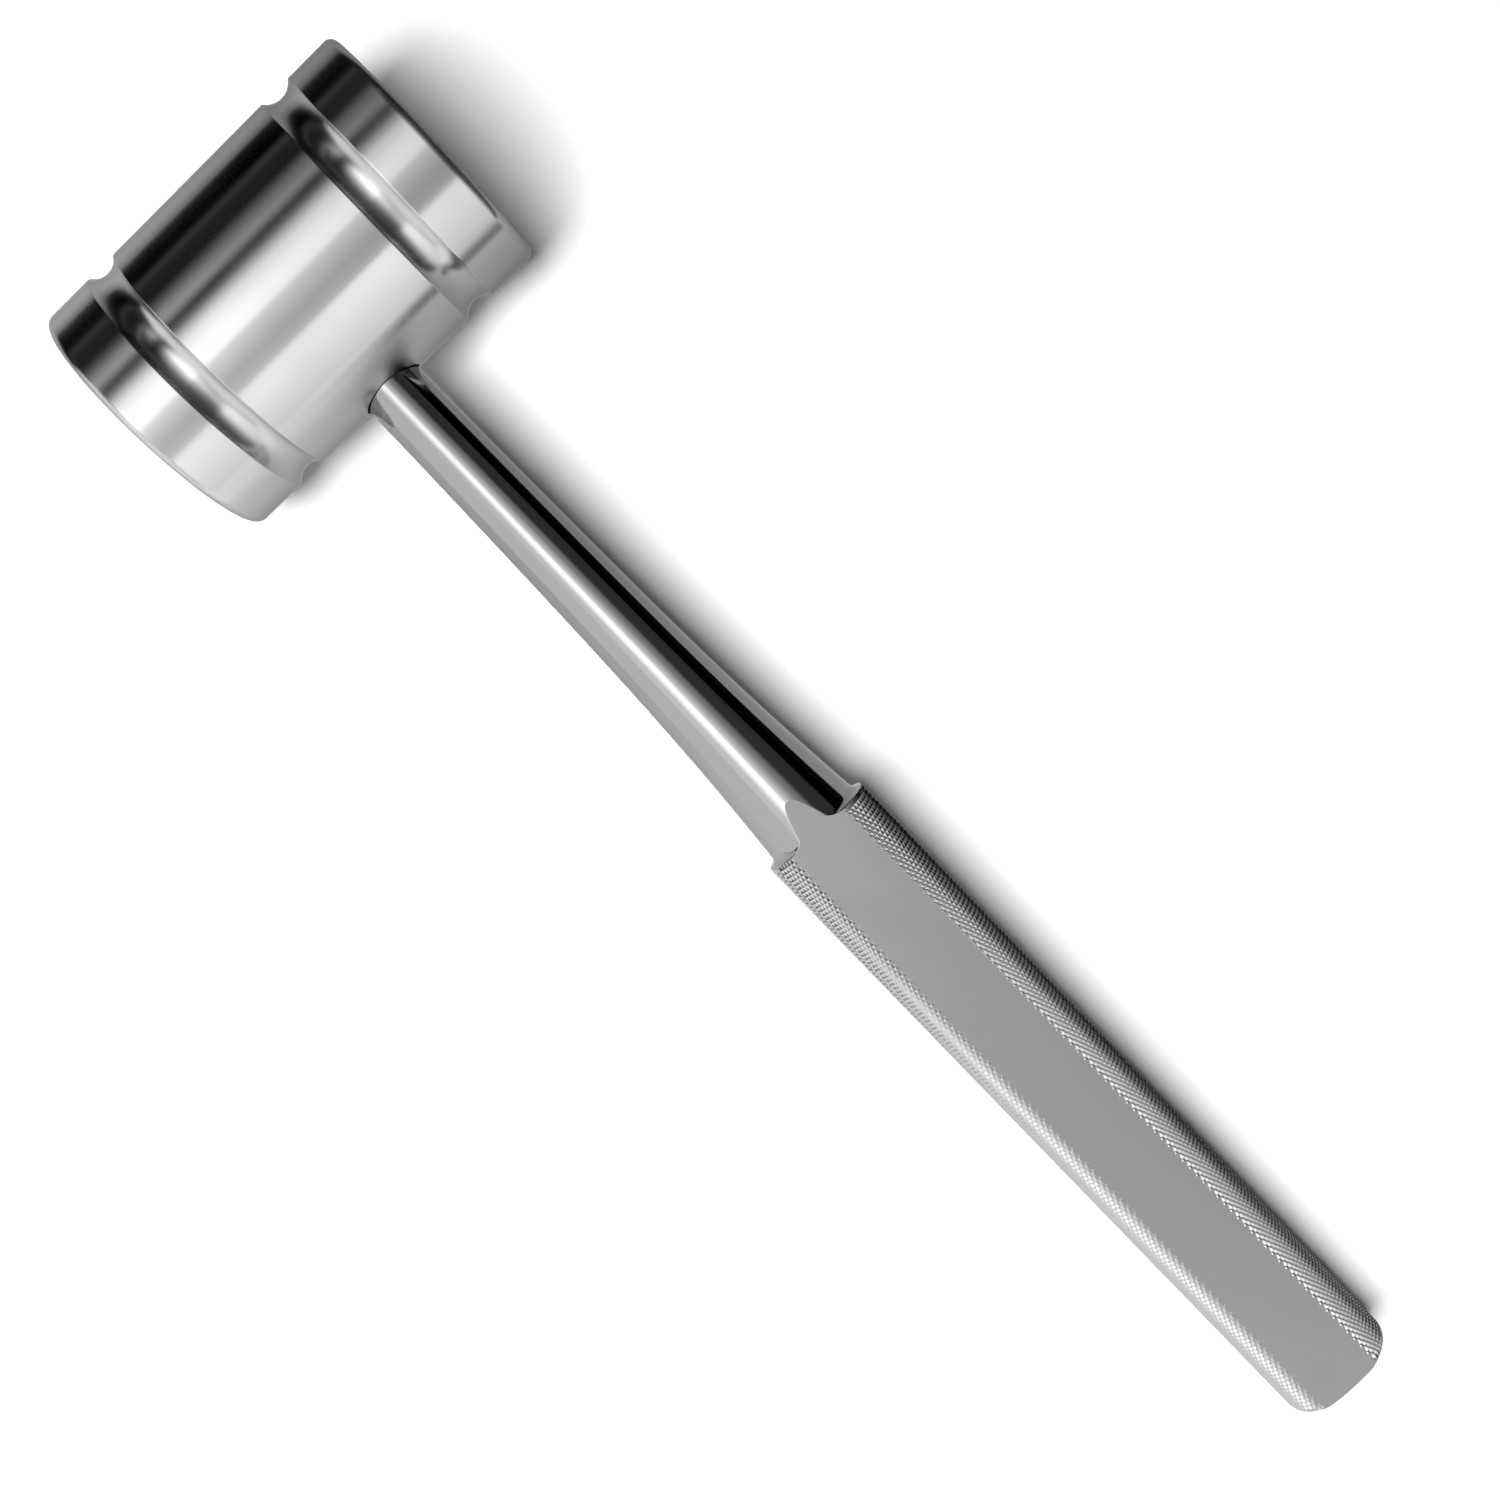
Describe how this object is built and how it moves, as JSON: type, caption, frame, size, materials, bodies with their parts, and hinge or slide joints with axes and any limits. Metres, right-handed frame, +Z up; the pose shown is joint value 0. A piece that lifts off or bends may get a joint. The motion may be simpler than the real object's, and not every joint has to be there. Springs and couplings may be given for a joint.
{
  "type": "meat mallet",
  "caption": "All-steel mallet: a smooth grooved drum head on a slim one-piece handle that flares into a knurled grip with flats.",
  "frame": {"origin": "bottom centre of the bounding box, on the surface the mallet lies on", "axes": "+X from the drum along the handle, Y along the drum's axis from one striking face to the other, +Z up"},
  "size_m": [0.2448, 0.0564, 0.04],
  "materials": {
    "head_steel": "bright satin with fine turning lines",
    "handle_steel": "mirror polish on the neck, fine diamond knurl on the grip, matt satin on its flats"
  },
  "bodies": {
    "root": {"head": "head_steel", "handle": "handle_steel"}
  },
  "joints": []
}
